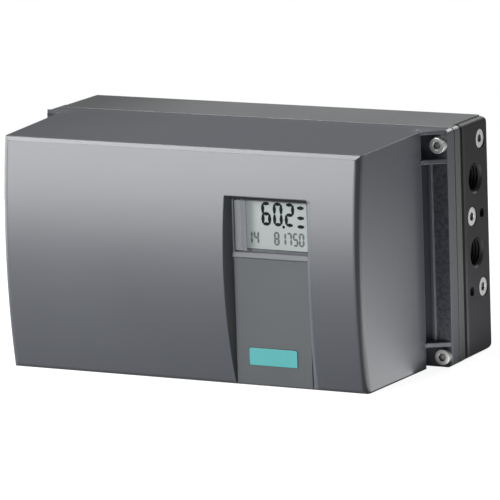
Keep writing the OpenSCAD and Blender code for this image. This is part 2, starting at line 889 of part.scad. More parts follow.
module main_board() {
    color(board_green)
    difference() {
        along_y([board_y - board_t, board_y])
            arm_outline(module_wall + free_gap);
        for (p = module_screw_at)
            rod_y(p, [board_y - board_t - eps, board_y + eps], module_screw_r + 2 * seat_gap);
    }
}

module board_parts() {
    face = board_y - board_t;
    color(black) {
        box([chip_x, chip_x + 14], [face - 3, face], [8, 22]);
        box([chip_x, chip_x + 10], [face - 4, face], [-12, -2]);
        rod_y([chip_x + 6, -21], [face - 16, face], 5);
        rod_y([chip_x + 18, -22], [face - 12, face], 4);
    }
}

module board_link() {
    color(black)
        box([lcd_x - 8, lcd_x + 8], [display_board_y + board_t, board_y - board_t],
            [key_z - 12, key_z - 8]);
}

module terminal_blocks() {
    face = board_y - board_t;
    color(grey)
    for (z = terminal_z)
        difference() {
            box([terminal_x - terminal_w / 2, terminal_x + terminal_w / 2], [face - terminal_h, face],
                [z - terminal_d / 2, z + terminal_d / 2]);
            for (i = [0 : terminal_n - 1]) {
                x = terminal_x + (i - (terminal_n - 1) / 2) * terminal_pitch;
                rod_y([x, z], [face - terminal_h - eps, face - terminal_h + 3.4], 1.9 + seat_gap);
                box([x - 1.7, x + 1.7], [face - terminal_h / 2 - 1.5, face - terminal_h / 2 + 2],
                    z > arm_z[0] + arm_h / 2
                        ? [z + terminal_d / 2 - 2, z + terminal_d / 2 + eps]
                        : [z - terminal_d / 2 - eps, z - terminal_d / 2 + 2]);
            }
        }
}

module terminal_screws() {
    face = board_y - board_t - terminal_h;
    color(steel)
    for (z = terminal_z, i = [0 : terminal_n - 1]) {
        x = terminal_x + (i - (terminal_n - 1) / 2) * terminal_pitch;
        difference() {
            rod_y([x, z], [face + 0.6, face + 3.4], 1.9);
            box([x - 2.5, x + 2.5], [face - eps, face + 1.4], [z - 0.3, z + 0.3]);
        }
    }
}

module module_cover() {
    x = [-module_left, module_right];
    z = [-module_down, module_up];
    w = module_wall;
    color(black)
    difference() {
        union() {
            difference() {
                box(x, [module_front, carrier_rim], z);
                box([x[0] + w, x[1] - w], [module_in, carrier_rim + eps], [z[0] + w, z[1] - w]);
            }
            for (p = module_screw_at)
                rod_y(p, [module_in - eps, board_y - board_t], standoff_r);
            for (sx = [-1, 1], dz = [0, -key_drop - 10])
                rod_y([lcd_x + sx * (lcd_w / 2 + 2.6), lcd_z + dz], [module_in - eps, display_board_y], 2);
        }
        box([lcd_x - lcd_w / 2 - free_gap, lcd_x + lcd_w / 2 + free_gap],
            [module_front - eps, module_in + eps],
            [lcd_z - lcd_h / 2 - free_gap, lcd_z + lcd_h / 2 + free_gap]);
        for (i = [-1 : 1])
            round_plate([lcd_x + i * key_pitch, key_z], key_w + 2 * free_gap, key_h + 2 * free_gap,
                key_r + free_gap, [module_front - eps, module_in + eps]);
        for (p = module_screw_at) {
            rod_y(p, [module_front - eps, module_front + module_head_h + 2], module_head_r + free_gap);
            rod_y(p, [module_front, board_y], module_screw_r + seat_gap);
        }
    }
}

module module_screws() {
    seat = module_front + module_head_h + 2;
    color(steel)
    for (p = module_screw_at)
        difference() {
            union() {
                rod_y(p, [seat - module_head_h, seat], module_head_r);
                rod_y(p, [seat - eps, board_y + 8], module_screw_r);
            }
            for (a = [0, 90])
                translate([p[0], 0, p[1]])
                    rotate([0, a, 0])
                        box([-1.6, 1.6], [seat - module_head_h - eps, seat - module_head_h / 2],
                            [-0.35, 0.35]);
        }
}

module display_board() {
    color(board_green)
        box([lcd_x - lcd_w / 2 - 4.4, module_right - module_wall - 2 * free_gap],
            [display_board_y, display_board_y + board_t],
            [lcd_z - key_drop - 13, lcd_z + lcd_h / 2 + 1.4]);
}

module lcd_backlight() {
    color(white)
        box([lcd_x - lcd_w / 2, lcd_x + lcd_w / 2], [lcd_front + lcd_t, display_board_y],
            [lcd_z - lcd_h / 2, lcd_z + lcd_h / 2]);
}

module lcd_glass() {
    color(lcd_grey)
        box([lcd_x - lcd_w / 2, lcd_x + lcd_w / 2], [lcd_front, lcd_front + lcd_t],
            [lcd_z - lcd_h / 2, lcd_z + lcd_h / 2]);
}

module lcd_bezel() {
    lip = lcd_front - 0.6;
    color(black)
    difference() {
        round_plate([lcd_x, lcd_z], lcd_w + 2 * bezel_w, lcd_h + 2 * bezel_w, 1, [lip, module_front]);
        round_plate([lcd_x, lcd_z], lcd_w + 2 * seat_gap, lcd_h + 2 * seat_gap, seat_gap,
            [lcd_front, module_front + eps]);
        round_plate([lcd_x, lcd_z], lcd_w - 2 * lcd_margin, lcd_h - 2 * lcd_margin, 0.5,
            [lip - eps, lcd_front + eps]);
    }
}

module key_switches() {
    color(grey)
    for (i = [-1 : 1])
        box([lcd_x + i * key_pitch - switch_w / 2, lcd_x + i * key_pitch + switch_w / 2],
            [display_board_y - switch_h, display_board_y], [key_z - switch_w / 2, key_z + switch_w / 2]);
}

// Push key with a flange that holds it behind the module's front.
module key(i) {
    at = [lcd_x + i * key_pitch, key_z];
    flange = module_in + free_gap;
    round_plate(at, key_w, key_h, key_r, [module_front - key_out, flange + eps / 2]);
    round_plate(at, key_w + 2, key_h + 2, key_r, [flange, flange + key_flange_t]);
}

module key_mode() {
    color(white) key(-1);
}

module key_down() {
    color(white) key(0);
}

module key_up() {
    color(white) key(1);
}

// Feedback drive
module shaft_bush() {
    color(brass)
    difference() {
        union() {
            rod_y([0, 0], [boss_y, 0], bush_r);
            rod_y([0, 0], [bush_y, boss_y], bush_flange_r);
        }
        rod_y([0, 0], [bush_y - eps, eps], journal_r + run_gap);
    }
}

module feedback_shaft() {
    color(steel)
    difference() {
        union() {
            rod_y([0, 0], [shaft_in, collar_y], journal_r);
            rod_y([0, 0], [free_gap, collar_y], collar_r);
            translate([0, collar_y + shoulder_l, 0])
                rotate([90, 0, 0])
                    cylinder(h = shoulder_l, r1 = shaft_r, r2 = shaft_r + shoulder_l);
            rod_y([0, 0], [free_gap, shaft_out - tip_l], shaft_r);
            rod_y([0, 0], [free_gap, shaft_out], tip_r);
        }
        difference() {
            rod_y([0, 0], clip_y, journal_r + eps);
            rod_y([0, 0], [clip_y[0] - eps, clip_y[1] + eps], journal_r - clip_groove);
        }
        box([-tip_r, tip_r], [shaft_out - tip_l, shaft_out + eps], [tip_r - shaft_flat, 2 * tip_r]);
    }
}

module shaft_clip() {
    color(steel)
    difference() {
        rod_y([0, 0], clip_y, clip_r);
        rod_y([0, 0], [clip_y[0] - eps, clip_y[1] + eps], journal_r - clip_groove + run_gap);
        box([-clip_groove - 1, clip_groove + 1], [clip_y[0] - eps, clip_y[1] + eps], [-clip_r - eps, 0]);
    }
}

module shaft_gear() {
    color(white)
    difference() {
        union() {
            along_y(gear_y)
                rotate(180)
                    polygon(gear_outline(gear_n));
            rod_y([0, 0], [gear_y[0] - gear_hub_l, gear_y[1]], gear_hub_r);
        }
        rod_y([0, 0], [gear_y[0] - gear_hub_l - eps, gear_y[1] + eps], journal_r + run_gap);
        for (a = [30 : 60 : 330])
            rod_y([15 * cos(a), 15 * sin(a)], [gear_y[0] - eps, gear_y[1] + eps], 4);
    }
}

module potentiometer() {
    color(grey)
    difference() {
        union() {
            rod_y([pinion_x, 0], pot_y, pot_r);
            rod_y([pinion_x, 0], [bush_y, pot_y[0] + eps], spindle_r + 1.2);
            box([pinion_x - pot_r - 3, pinion_x], [pot_y[1] - 3, pot_y[1]], [-4, 4]);
        }
        rod_y([pinion_x, 0], [bush_y - eps, pot_y[0] + spindle_depth], spindle_r + run_gap);
    }
}

module pot_spindle() {
    color(steel)
        rod_y([pinion_x, 0], [wheel_y[0], pot_y[0] + spindle_depth - free_gap], spindle_r);
}

module pot_pinion() {
    color(brass)
    difference() {
        union() {
            translate([pinion_x, 0, 0])
                along_y(gear_y)
                    rotate(180 / pinion_n)
                        polygon(gear_outline(pinion_n));
            rod_y([pinion_x, 0], [plate_y[1] + free_gap, gear_y[0] + eps], pinion_hub_r);
        }
        rod_y([pinion_x, 0], [plate_y[1] - eps, gear_y[1] + eps], spindle_r + run_gap);
    }
}

module clutch_wheel() {
    color(yellow)
    difference() {
        rod_y([pinion_x, 0], wheel_y, wheel_r);
        rod_y([pinion_x, 0], [wheel_y[0] - eps, wheel_y[1] + eps], spindle_r + run_gap);
        for (k = [0 : wheel_n - 1])
            rod_y([pinion_x + wheel_r * cos(k * 360 / wheel_n), wheel_r * sin(k * 360 / wheel_n)],
                [wheel_y[0] - eps, wheel_y[1] - 2], 0.8);
        difference() {
            rod_y([pinion_x, 0], [wheel_y[0] - eps, wheel_y[0] + 1.5], wheel_r - 2.5);
            rod_y([pinion_x, 0], [wheel_y[0] - 2 * eps, wheel_y[0] + 2], spindle_r + 1.5);
        }
    }
}

module gear_plate() {
    color(alloy)
    difference() {
        box(gear_plate_x, plate_y, [-gear_plate_hh, gear_plate_hh]);
        rod_y([pinion_x, 0], [plate_y[0] - eps, plate_y[1] + eps], spindle_r + run_gap);
        rod_y(selector_at, [plate_y[0] - eps, plate_y[1] + eps], selector_pin_r + run_gap);
        for (p = concat(long_post_at, short_post_at))
            rod_y(p, [plate_y[0] - eps, plate_y[1] + eps], post_screw_r + seat_gap);
    }
}

module plate_posts() {
    color(steel) {
        for (p = long_post_at)
            difference() {
                rod_y(p, [plate_y[1], inner_y], post_r);
                rod_y(p, [plate_y[1] - eps, plate_y[1] + 6], post_screw_r + seat_gap);
            }
        for (p = short_post_at)
            difference() {
                rod_y(p, [plate_y[1], boss_y], post_r);
                rod_y(p, [plate_y[1] - eps, plate_y[1] + 6], post_screw_r + seat_gap);
            }
    }
}

module plate_screws() {
    face = plate_y[0] - post_head_h;
    color(steel)
    for (p = concat(long_post_at, short_post_at))
        difference() {
            union() {
                rod_y(p, [face, plate_y[0]], post_head_r);
                rod_y(p, [plate_y[0] - eps, plate_y[1] + 5], post_screw_r);
            }
            box([p[0] - 3, p[0] + 3], [face - eps, face + 0.8], [p[1] - 0.35, p[1] + 0.35]);
        }
}

module ratio_selector() {
    seat = plate_y[0] - free_gap;
    face = seat - selector_t;
    color(yellow)
    union() {
        rod_y(selector_at, [face, seat], selector_hub_r);
        rod_y(selector_at, [seat - eps, plate_y[1]], selector_pin_r);
        translate([selector_at[0], 0, selector_at[1]])
            rotate([0, -selector_rest, 0]) {
                box([0, selector_l - selector_arm_w / 2], [face + 0.5, seat],
                    [-selector_arm_w / 2, selector_arm_w / 2]);
                rod_y([selector_l - selector_arm_w / 2, 0], [face - 3, seat], selector_arm_w / 2);
            }
    }
}

// Cable entries
module gland_body() {
    at = [entry_low, gland_z];
    neck = gland_hex - neck_l;
    color(black)
    difference() {
        union() {
            hex_x(at, [gland_hex, seal_face], gland_af);
            rod_x(at, [seal_face - eps, seal_face + seal_t + entry_thread_l], entry_r);
            rod_x(at, [neck, gland_hex + eps], neck_r);
        }
        rod_x(at, [neck - eps, seal_face + seal_t + entry_thread_l + eps], gland_bore_r + 1.2);
        rod_x(at, [neck - eps, gland_hex - 1], insert_ring_r + seat_gap);
    }
}

module gland_seal() {
    at = [entry_low, gland_z];
    color(rubber)
    difference() {
        rod_x(at, [gland_tip + nut_wall + seat_gap, gland_hex - 1], insert_ring_r);
        rod_x(at, [gland_tip - eps, gland_hex + eps], gland_bore_r);
    }
}

module gland_nut() {
    at = [entry_low, gland_z];
    waist = gland_hex - free_gap - gland_nut_l / 2;
    color(black)
    difference() {
        union() {
            hex_x(at, [waist, gland_hex - free_gap], gland_af);
            rod_x(at, [gland_tip + nut_wall, waist + eps], gland_af / 2);
            translate([gland_tip, at[0], at[1]])
                rotate([0, 90, 0])
                    cylinder(h = nut_wall, r1 = gland_af / 2 - nut_wall, r2 = gland_af / 2);
        }
        rod_x(at, [gland_tip + nut_wall, gland_hex], neck_r + seat_gap);
        rod_x(at, [gland_tip - eps, gland_hex], gland_bore_r + 1.2);
    }
}

module blanking_plug() {
    at = [entry_low, plug_z];
    color(black)
    difference() {
        union() {
            hex_x(at, [seal_face - plug_head_t, seal_face], gland_af);
            rod_x(at, [seal_face - eps, seal_face + seal_t + entry_thread_l], entry_r);
        }
        rod_x(at, [seal_face + 1, seal_face + seal_t + entry_thread_l + eps], entry_r - 2.4);
        rod_x(at, [seal_face - plug_head_t - eps, seal_face - plug_head_t + 1], entry_r - 1);
    }
}

module entry_seals() {
    color(rubber)
    for (z = [gland_z, plug_z])
        difference() {
            rod_x([entry_low, z], [seal_face, entry_x], entry_r + 1.8);
            rod_x([entry_low, z], [seal_face - eps, entry_x + eps], entry_r + run_gap);
        }
}

// Cover
module recess_shape(g) {
    fl = floor_y + g;
    reach = fl - front_y + eps;
    out = reach * recess_flare;
    lip = reach * recess_lip;
    x0 = recess_x - recess_w / 2 - g;
    x1 = recess_x + recess_w / 2 + g;
    top = recess_top + g;
    intersection() {
        translate([0, 0, -hh - eps])
            linear_extrude(body_h + 2 * eps)
                polygon([[x0, fl], [x1, fl], [x1 + lip, fl - reach], [x0 - out, fl - reach]]);
        along_x([-hw, hw])
            polygon([[fl, -hh - eps], [fl, top], [fl - reach, top + lip], [fl - reach, -hh - eps]]);
    }
}

// Chamfer that follows the bulge along the recess's right edge.
module lip_chamfer() {
    x = recess_x + recess_w / 2;
    over = 1 + eps / lip_d;
    intersection() {
        translate([0, arc_y, 0])
            rotate([0, 90, 0])
                rotate_extrude($fn = 128)
                    polygon([[arc_r - lip_d, x], [arc_r + eps, x], [arc_r + eps, x + lip_w * over]]);
        box([x, hw], [front_y - eps, floor_y], [-hh - eps, recess_top]);
    }
}

// Front-to-rear block of the cover: a wide rim of a large disc, cut by the top and bottom faces.
module cover_block() {
    deep = arc_y - rim_y - 2 * eps;
    flange = arc_y - cover_flange_y;
    e = front_edge_r;
    c = front_chamfer;
    fall = edge_y + c - front_y + eps;
    intersection() {
        translate([0, arc_y, 0])
            rotate([0, 90, 0])
                rotate_extrude($fn = 128) {
                    polygon([
                        [deep, -side_back], [flange, -side_back], [arc_r - e, -side_front],
                        [arc_r, -side_front + e], [arc_r, side_front - e], [arc_r - e, side_front],
                        [flange, side_back], [deep, side_back]
                    ]);
                    for (s = [-1, 1])
                        translate([arc_r - e, s * (side_front - e)])
                            circle(r = e);
                }
        along_x([-hw, hw])
            polygon([
                [front_y - eps, -hh + fall], [edge_y + c, -hh], [rim_y, -hh], [rim_y, hh],
                [cover_flange_y, hh], [edge_y + c, hh - top_draft], [front_y - eps, hh - top_draft - fall]
            ]);
    }
}

module gusset(s, z, t) {
    translate([0, 0, z])
        linear_extrude(t)
            polygon([
                [s * (trough_x - eps), trough_y - eps], [s * side_back, trough_y - eps],
                [s * side_back, trough_y], [s * (hw - seat_gap), cover_flange_y],
                [s * (hw - seat_gap), cover_flange_y + eps], [s * (trough_x - eps), cover_flange_y + eps]
            ]);
}

module cover_outside() {
    difference() {
        cover_block();
        for (s = [-1, 1])
            box(s > 0 ? [trough_x, hw + eps] : [-hw - eps, -trough_x], [trough_y, cover_flange_y],
                [-hh - eps, hh + eps]);
    }
    along_y([cover_flange_y, rim_y])
        round_rect(body_w, body_h, corner_r);
    for (s = [-1, 1]) {
        for (z = [gusset_z[0] - gusset_t, gusset_z[1]])
            gusset(s, z, gusset_t);
        gusset(s, hh - roof_t - seat_gap, roof_t);
        box(s > 0 ? [rib_x, rib_x + rib_w] : [-rib_x - rib_w, -rib_x],
            [cover_flange_y - rib_h, cover_flange_y + eps], gusset_z);
    }
}

module cover_hollow() {
    difference() {
        intersection() {
            rod_x([arc_y, 0], [-cavity_hw, cavity_hw], arc_r - cover_wall);
            box([-cavity_hw, cavity_hw], [front_y, rim_y + eps], [-cavity_hh, cavity_hh]);
        }
        recess_shape(floor_t);
    }
}

module cover() {
    view_w = window_w - ledge_left - ledge_right;
    view_x = recess_x + (ledge_left - ledge_right) / 2;
    view_h = window_h - 2 * window_ledge;
    bar_z = plate_top + 2 * seat_gap;
    color(slate)
    difference() {
        union() {
            difference() {
                cover_outside();
                cover_hollow();
                recess_shape(0);
            }
            along_x([recess_x - recess_w / 2, recess_x + recess_w / 2])
                polygon([
                    [floor_y + eps, bar_z], [floor_y - bar_out, bar_z],
                    [floor_y - bar_back, bar_z + bar_h], [floor_y + eps, bar_z + bar_h]
                ]);
        }
        round_plate([recess_x, window_z], window_w + 2 * seat_gap, window_h + 2 * seat_gap, 0.6,
            [floor_y - eps, floor_y + window_seat]);
        round_plate([view_x, window_z], view_w, view_h, 0.5, [floor_y, floor_in + eps]);
        box([recess_x - plate_w / 2 - seat_gap, recess_x + plate_w / 2 + seat_gap],
            [front_y, floor_y + plate_seat], [plate_low - seat_gap, plate_top + seat_gap]);
        for (sx = [-1, 1], z = screw_z)
            rod_y([sx * screw_x, z], [cover_flange_y - eps, rim_y + eps], screw_r + seat_gap);
        lip_chamfer();
    }
}

module window() {
    color([0.85, 0.9, 0.9, 0.4])
        round_plate([recess_x, window_z], window_w, window_h, 0.5,
            [floor_y + seat_gap, floor_y + window_seat]);
}

module front_plate() {
    seat = floor_y + plate_seat;
    at = [inlay_x, -hh + inlay_up];
    color(grey)
    difference() {
        box([recess_x - plate_w / 2, recess_x + plate_w / 2], [seat - plate_t, seat],
            [plate_low, plate_top]);
        box([at[0] - inlay_w / 2 - seat_gap, at[0] + inlay_w / 2 + seat_gap],
            [seat - plate_t - eps, seat - plate_t + inlay_t / 2],
            [at[1] - inlay_h / 2 - seat_gap, at[1] + inlay_h / 2 + seat_gap]);
    }
}

module name_plate() {
    face = floor_y + plate_seat - plate_t - inlay_t / 2;
    color(teal)
        round_plate([inlay_x, -hh + inlay_up], inlay_w, inlay_h, 0.6, [face, face + inlay_t]);
}

module cover_screws() {
    seat = cover_flange_y - washer_t;
    color(steel)
    for (sx = [-1, 1], z = screw_z)
        difference() {
            union() {
                rod_y([sx * screw_x, z], [seat - screw_head_h, seat], screw_head_r);
                rod_y([sx * screw_x, z], [seat - eps, rim_y + screw_bite], screw_r);
            }
            translate([sx * screw_x, 0, z])
                along_y([seat - screw_head_h - eps, seat - screw_head_h / 2])
                    circle(r = screw_socket / 2 / cos(30), $fn = 6);
        }
}

module screw_washers() {
    color(steel)
    for (sx = [-1, 1], z = screw_z)
        difference() {
            rod_y([sx * screw_x, z], [cover_flange_y - washer_t, cover_flange_y], screw_head_r);
            rod_y([sx * screw_x, z], [cover_flange_y - washer_t - eps, cover_flange_y + eps],
                screw_r + seat_gap);
        }
}

base_housing();
mounting_inserts();
cover_gasket();
connection_block();
block_screws();
valve_block();
pilot_valves();
silencer();
restrictor_fill();
restrictor_vent();
purge_switch();
vent_plug();
standoffs();
carrier();
main_board();
board_parts();
board_link();
terminal_blocks();
terminal_screws();
module_cover();
module_screws();
display_board();
lcd_backlight();
lcd_glass();
lcd_bezel();
key_switches();
key_mode();
key_down();
key_up();
shaft_bush();
feedback_shaft();
shaft_clip();
shaft_gear();
potentiometer();
pot_spindle();
pot_pinion();
clutch_wheel();
gear_plate();
plate_posts();
plate_screws();
ratio_selector();
gland_body();
gland_seal();
gland_nut();
blanking_plug();
entry_seals();
cover();
window();
front_plate();
name_plate();
cover_screws();
screw_washers();
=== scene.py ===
import math

import bmesh
import bpy
from mathutils import Matrix, Vector


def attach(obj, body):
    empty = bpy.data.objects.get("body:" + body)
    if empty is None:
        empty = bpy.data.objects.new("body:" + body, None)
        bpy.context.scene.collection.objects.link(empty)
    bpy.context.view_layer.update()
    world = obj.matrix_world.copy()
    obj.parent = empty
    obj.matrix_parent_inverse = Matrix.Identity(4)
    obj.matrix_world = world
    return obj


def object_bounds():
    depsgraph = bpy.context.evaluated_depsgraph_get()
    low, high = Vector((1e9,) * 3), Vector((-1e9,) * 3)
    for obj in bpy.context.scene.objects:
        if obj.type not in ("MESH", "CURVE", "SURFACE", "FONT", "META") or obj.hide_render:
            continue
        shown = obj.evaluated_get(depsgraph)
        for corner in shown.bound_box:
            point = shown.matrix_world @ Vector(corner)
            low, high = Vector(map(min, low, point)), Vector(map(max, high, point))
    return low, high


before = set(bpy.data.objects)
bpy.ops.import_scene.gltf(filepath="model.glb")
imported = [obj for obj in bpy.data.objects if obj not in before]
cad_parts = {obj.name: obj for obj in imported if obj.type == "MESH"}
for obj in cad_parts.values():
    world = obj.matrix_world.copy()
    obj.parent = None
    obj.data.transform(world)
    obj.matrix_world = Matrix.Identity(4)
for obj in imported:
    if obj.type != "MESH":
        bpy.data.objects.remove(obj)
cad_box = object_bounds()

# Camera, lamps and floor: a long lens from the front right, a little above the box, as in the
# photograph. Softboxes at the front left make the glow that fades down the front, one overhead catches
# the upper edge, one behind lights the tops, and two cards on the floor light the right-hand side.
scene = bpy.context.scene
scene.view_settings.view_transform = "Standard"
turn, lift, roll = math.radians(27.68), math.radians(11.09), math.radians(-1.93)
back = Vector((math.sin(turn) * math.cos(lift), -math.cos(turn) * math.cos(lift), math.sin(lift)))
level = Vector((math.cos(turn), math.sin(turn), 0))
rise = back.cross(level)
across = math.cos(roll) * level + math.sin(roll) * rise
upright = math.cos(roll) * rise - math.sin(roll) * level
lens = bpy.data.cameras.new("camera")
lens.sensor_width, lens.lens = 36, 348.3
lens.clip_start, lens.clip_end = 0.05, 50
camera = bpy.data.objects.new("camera", lens)
scene.collection.objects.link(camera)
aim, distance, moved_right, moved_down = Vector((0, -0.0462, -0.001)), 1.986, 0.0048, 0.00327
stand = aim + back * distance + across * moved_right - upright * moved_down
camera.matrix_world = Matrix.Translation(stand) @ Matrix((across, upright, back)).transposed().to_4x4()
scene.camera = camera


def lamp(name, place, target, size, power, along=None):
    data = bpy.data.lights.new(name, "AREA")
    data.shape, data.size, data.size_y = "RECTANGLE", size[0], size[1]
    data.energy = power
    made = bpy.data.objects.new(name, data)
    away = (Vector(place) - Vector(target)).normalized()
    side = Vector(along) if along else Vector((0, 0, 1)).cross(away)
    side = (side - away * away.dot(side)).normalized()
    turned = Matrix((side, away.cross(side), away)).transposed().to_4x4()
    made.matrix_world = Matrix.Translation(place) @ turned
    scene.collection.objects.link(made)


front_middle, card_z = (0, -0.09, 0), -0.0482
lamp("front_softbox", (-0.44, -0.93, 0.19), front_middle, (0.75, 0.56), 10.5)
lamp("key_softbox", (-0.44, -0.86, 0.50), front_middle, (0.6, 0.34), 3.7)
lamp("top_softbox", (-0.46, -0.30, 0.9), front_middle, (0.6, 0.2), 6.0, along=(1, 0, 0))
lamp("rear_softbox", (0.2, 0.95, 0.58), (0, 0, 0), (0.5, 0.4), 4.0)
lamp("left_card", (-0.75, -0.15, 0.1), (0, -0.05, 0), (0.5, 0.5), 4)
lamp("floor_card", (0.2295, 0.0492, card_z), (0.2295, 0.0492, 0.2), (0.40, 0.12), 0.32,
     along=(0.574, 0.819, 0))
lamp("edge_card", (0.36, -0.07, card_z), (0.36, -0.07, 0.2), (0.40, 0.12), 0.45, along=(1, 0, 0))


def seen_directly(tree, in_gloss):
    path = tree.nodes.new("ShaderNodeLightPath")
    mirrored = tree.nodes.new("ShaderNodeMath")
    mirrored.operation = "MULTIPLY"
    mirrored.inputs[1].default_value = in_gloss
    tree.links.new(path.outputs["Is Glossy Ray"], mirrored.inputs[0])
    through = tree.nodes.new("ShaderNodeMath")
    through.operation = "MAXIMUM"
    tree.links.new(path.outputs["Is Transmission Ray"], through.inputs[0])
    tree.links.new(mirrored.outputs[0], through.inputs[1])
    seen = tree.nodes.new("ShaderNodeMath")
    seen.operation = "MAXIMUM"
    tree.links.new(path.outputs["Is Camera Ray"], seen.inputs[0])
    tree.links.new(through.outputs[0], seen.inputs[1])
    return seen.outputs[0]


world = bpy.data.worlds.new("studio")
scene.world = world
world.use_nodes = True
sky = world.node_tree
backdrop = sky.nodes.new("ShaderNodeMix")
backdrop.data_type = "RGBA"
backdrop.inputs["A"].default_value = (0.155, 0.162, 0.172, 1)
backdrop.inputs["B"].default_value = (1, 1, 1, 1)
sky.links.new(seen_directly(sky, 0.20), backdrop.inputs["Factor"])
sky.links.new(backdrop.outputs["Result"], sky.nodes["Background"].inputs["Color"])

floor_radius = 0.36
ground = bmesh.new()
bmesh.ops.create_circle(ground, cap_ends=True, segments=64, radius=floor_radius)
bmesh.ops.translate(ground, verts=ground.verts, vec=(0, 0, cad_box[0].z))
floor_mesh = bpy.data.meshes.new("floor")
ground.to_mesh(floor_mesh)
ground.free()
floor = bpy.data.objects.new("floor", floor_mesh)
scene.collection.objects.link(floor)
paper = bpy.data.materials.new("paper_floor")
paper.use_nodes = True
floor_mesh.materials.append(paper)
paper_skin = paper.node_tree.nodes["Principled BSDF"]
paper_skin.inputs["Base Color"].default_value = (0.25, 0.25, 0.25, 1)
paper_skin.inputs["Roughness"].default_value = 0.9
paper_skin.inputs["Emission Color"].default_value = (0.90, 0.90, 0.90, 1)
paper.node_tree.links.new(seen_directly(paper.node_tree, 0.2), paper_skin.inputs["Emission Strength"])


# Base housing: the rear tray, moulded in dark slate-grey glass-filled plastic with a fine spark
# grain. Its flange takes the cover's screws and its rear wall carries the shaft and the inserts.
# Painted shade darkens the side strip before the connection block and the top towards the left.
def finish(name, colour, rough, grain=2400, depth=0.12, edge=0.0005, metal=0.0, cloud=22, tint=0.10,
           spread=0.05, stretch=(1, 1, 1), edge_highlight=1.3, ior=1.5, recess=0.0):
    made = bpy.data.materials.new(name)
    made.use_nodes = True
    tree = made.node_tree
    bsdf = tree.nodes["Principled BSDF"]
    bsdf.inputs["Metallic"].default_value = metal
    bsdf.inputs["IOR"].default_value = ior
    place = tree.nodes.new("ShaderNodeTexCoord")
    spot = tree.nodes.new("ShaderNodeMapping")
    spot.inputs["Scale"].default_value = stretch
    tree.links.new(place.outputs["Object"], spot.inputs["Vector"])

    shade = tree.nodes.new("ShaderNodeTexNoise")
    shade.inputs["Scale"].default_value, shade.inputs["Detail"].default_value = cloud, 4
    tree.links.new(spot.outputs[0], shade.inputs["Vector"])
    tones = tree.nodes.new("ShaderNodeValToRGB")
    low, high = tones.color_ramp.elements
    low.position, high.position = 0.3, 0.7
    low.color = (*[c * (1 - tint) for c in colour], 1)
    high.color = (*[c * (1 + tint) for c in colour], 1)
    tree.links.new(shade.outputs["Fac"], tones.inputs[0])

    speck = tree.nodes.new("ShaderNodeTexNoise")
    speck.inputs["Scale"].default_value, speck.inputs["Detail"].default_value = grain, 2
    tree.links.new(spot.outputs[0], speck.inputs["Vector"])
    sheen = tree.nodes.new("ShaderNodeMapRange")
    sheen.inputs["To Min"].default_value = max(0.02, rough - spread)
    sheen.inputs["To Max"].default_value = rough + spread
    tree.links.new(speck.outputs["Fac"], sheen.inputs["Value"])
    tree.links.new(sheen.outputs[0], bsdf.inputs["Roughness"])

    round_off = tree.nodes.new("ShaderNodeBevel")
    round_off.samples = 4
    round_off.inputs["Radius"].default_value = edge
    relief = tree.nodes.new("ShaderNodeBump")
    relief.name = "relief"
    relief.inputs["Strength"].default_value = depth
    relief.inputs["Distance"].default_value = 0.0001
    tree.links.new(speck.outputs["Fac"], relief.inputs["Height"])
    tree.links.new(round_off.outputs[0], relief.inputs["Normal"])
    tree.links.new(relief.outputs[0], bsdf.inputs["Normal"])

    facing = tree.nodes.new("ShaderNodeNewGeometry")
    turned = tree.nodes.new("ShaderNodeVectorMath")
    turned.operation = "DOT_PRODUCT"
    tree.links.new(round_off.outputs[0], turned.inputs[0])
    tree.links.new(facing.outputs["Normal"], turned.inputs[1])
    # Painted highlight: edges where the rounded normal turns away from the face are lightened by the edge
    # highlight factor.
    edge_highlight_band = tree.nodes.new("ShaderNodeMapRange")
    edge_highlight_band.inputs["From Min"].default_value, edge_highlight_band.inputs["From Max"].default_value = 0.78, 0.96
    edge_highlight_band.inputs["To Min"].default_value, edge_highlight_band.inputs["To Max"].default_value = 1, 0
    tree.links.new(turned.outputs["Value"], edge_highlight_band.inputs["Value"])
    highlit_edges = tree.nodes.new("ShaderNodeMix")
    highlit_edges.data_type = "RGBA"
    highlit_edges.inputs["B"].default_value = (*[min(1, c * edge_highlight) for c in colour], 1)
    tree.links.new(edge_highlight_band.outputs[0], highlit_edges.inputs["Factor"])
    tree.links.new(tones.outputs[0], highlit_edges.inputs["A"])
    tree.links.new(highlit_edges.outputs["Result"], bsdf.inputs["Base Color"])
    # Painted shade: ambient occlusion darkens sockets, bores and corners within the recess distance.
    if recess:
        hollow = tree.nodes.new("ShaderNodeAmbientOcclusion")
        hollow.samples = 8
        hollow.inputs["Distance"].default_value = recess
        painted_recess_shade = tree.nodes.new("ShaderNodeMapRange")
        painted_recess_shade.inputs["From Min"].default_value, painted_recess_shade.inputs["From Max"].default_value = 0.35, 0.85
        painted_recess_shade.inputs["To Min"].default_value, painted_recess_shade.inputs["To Max"].default_value = 1, 0
        tree.links.new(hollow.outputs["AO"], painted_recess_shade.inputs["Value"])
        tone(made, painted_recess_shade.outputs[0], 0.05)
    return made


def tone(made, mask, strength):
    tree = made.node_tree
    skin = tree.nodes["Principled BSDF"].inputs["Base Color"]
    mix = tree.nodes.new("ShaderNodeMix")
    mix.data_type, mix.blend_type = "RGBA", "MULTIPLY"
    mix.inputs["B"].default_value = (strength, strength, strength, 1)
    tree.links.new(mask, mix.inputs["Factor"])
    tree.links.new(skin.links[0].from_socket, mix.inputs["A"])
    tree.links.new(mix.outputs["Result"], skin)


def sums(made, operation, *values):
    tree = made.node_tree
    node = tree.nodes.new("ShaderNodeMath")
    node.operation = operation
    for socket, value in zip(node.inputs, values):
        if isinstance(value, (int, float)):
            socket.default_value = value
        else:
            tree.links.new(value, socket)
    return node.outputs[0]


def both(made, mask, *others):
    for other in others:
        mask = sums(made, "MULTIPLY", mask, other)
    return mask


def either(made, mask, *others):
    for other in others:
        mask = sums(made, "MAXIMUM", mask, other)
    return mask


